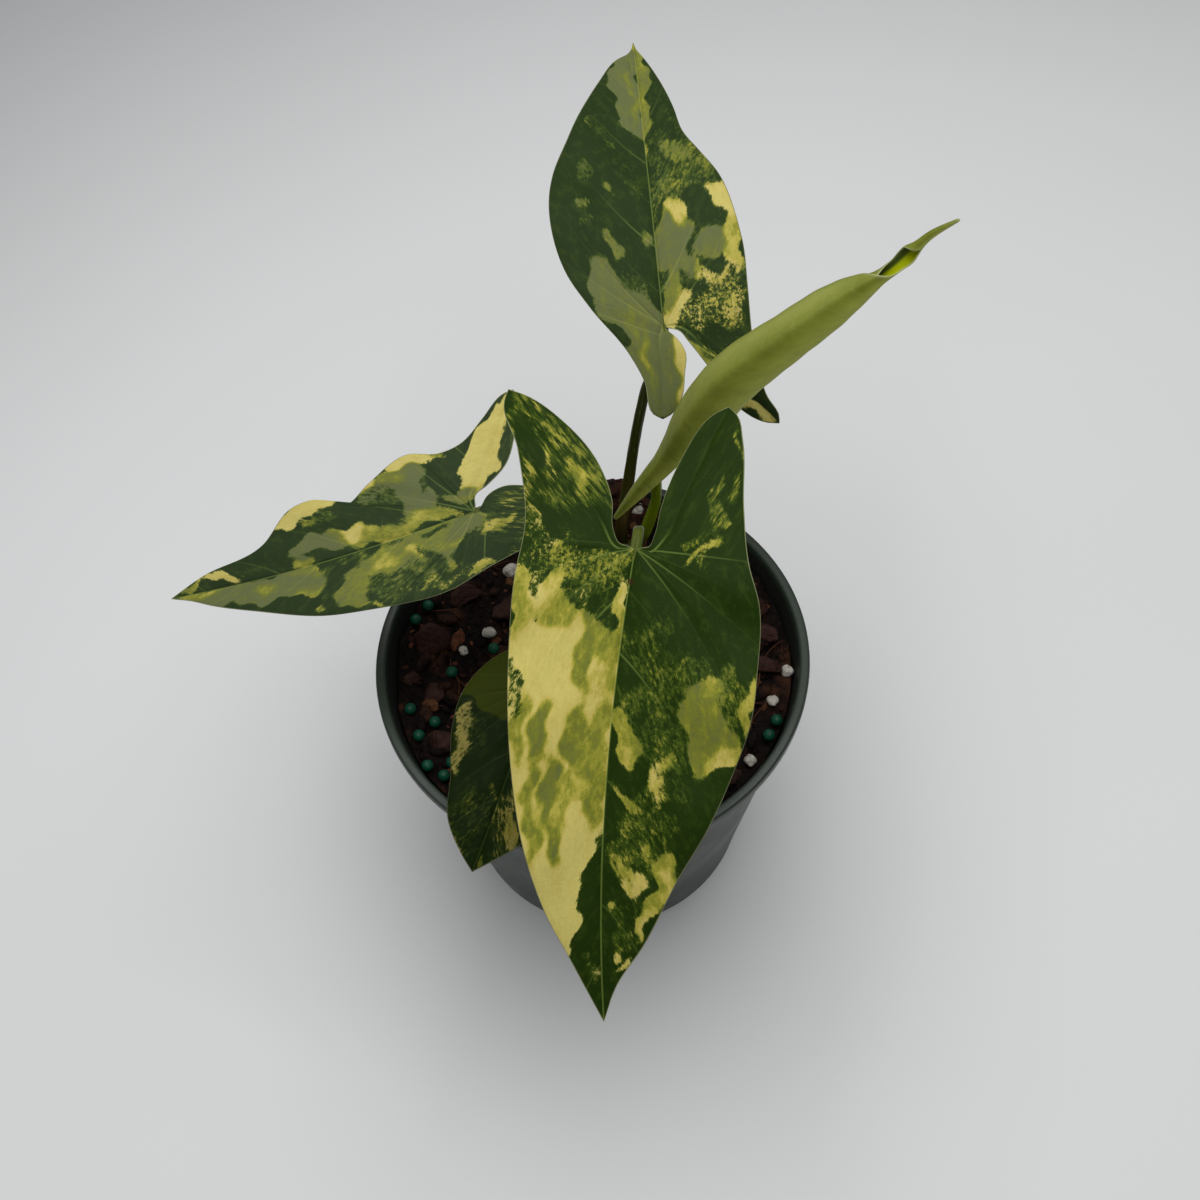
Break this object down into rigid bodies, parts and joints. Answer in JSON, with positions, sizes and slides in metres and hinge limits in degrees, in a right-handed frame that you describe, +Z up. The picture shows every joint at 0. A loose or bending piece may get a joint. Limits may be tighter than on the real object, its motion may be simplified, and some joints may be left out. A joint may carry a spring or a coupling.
{
  "type": "potted syngonium",
  "caption": "Small variegated arrowhead plant with arrow-shaped leaves and one leaf still rolled, growing in bark mix in a round plastic nursery pot.",
  "frame": {"origin": "centre of the pot's underside, on the surface that the pot stands on", "axes": "+Z up; the tip of the largest leaf points to -Y, and the rolled young leaf leans to +X"},
  "size_m": [0.1851, 0.2265, 0.1957],
  "materials": {
    "pot plastic": "satin moulded plastic",
    "potting mix": "moist, crumbly",
    "crown": "satin",
    "leaf": "satin, cream and green",
    "young leaf": "satin with a pale bloom",
    "stalk": "satin",
    "bark": "rough",
    "perlite": "rough",
    "fertiliser bead": "smooth resin coat"
  },
  "bodies": {
    "root": {"bark_01": "bark", "bark_02": "bark", "bark_03": "bark", "bark_04": "bark", "bark_05": "bark", "bark_06": "bark", "bark_07": "bark", "bark_08": "bark", "bark_09": "bark", "bark_10": "bark", "bark_11": "bark", "bark_12": "bark", "blade_back": "leaf", "blade_front": "leaf", "blade_left": "leaf", "blade_low": "leaf", "blade_new": "young leaf", "crown": "crown", "perlite_01": "perlite", "perlite_02": "perlite", "perlite_03": "perlite", "perlite_04": "perlite", "perlite_05": "perlite", "perlite_06": "perlite", "perlite_07": "perlite", "perlite_08": "perlite", "perlite_09": "perlite", "petiole_back": "stalk", "petiole_front": "stalk", "petiole_left": "stalk", "petiole_low": "stalk", "petiole_new": "stalk", "pot": "pot plastic", "potting_mix": "potting mix", "prill_01": "fertiliser bead", "prill_02": "fertiliser bead", "prill_03": "fertiliser bead", "prill_04": "fertiliser bead", "prill_05": "fertiliser bead", "prill_06": "fertiliser bead", "prill_07": "fertiliser bead", "prill_08": "fertiliser bead", "prill_09": "fertiliser bead", "prill_10": "fertiliser bead", "prill_11": "fertiliser bead", "prill_12": "fertiliser bead"}
  },
  "joints": []
}
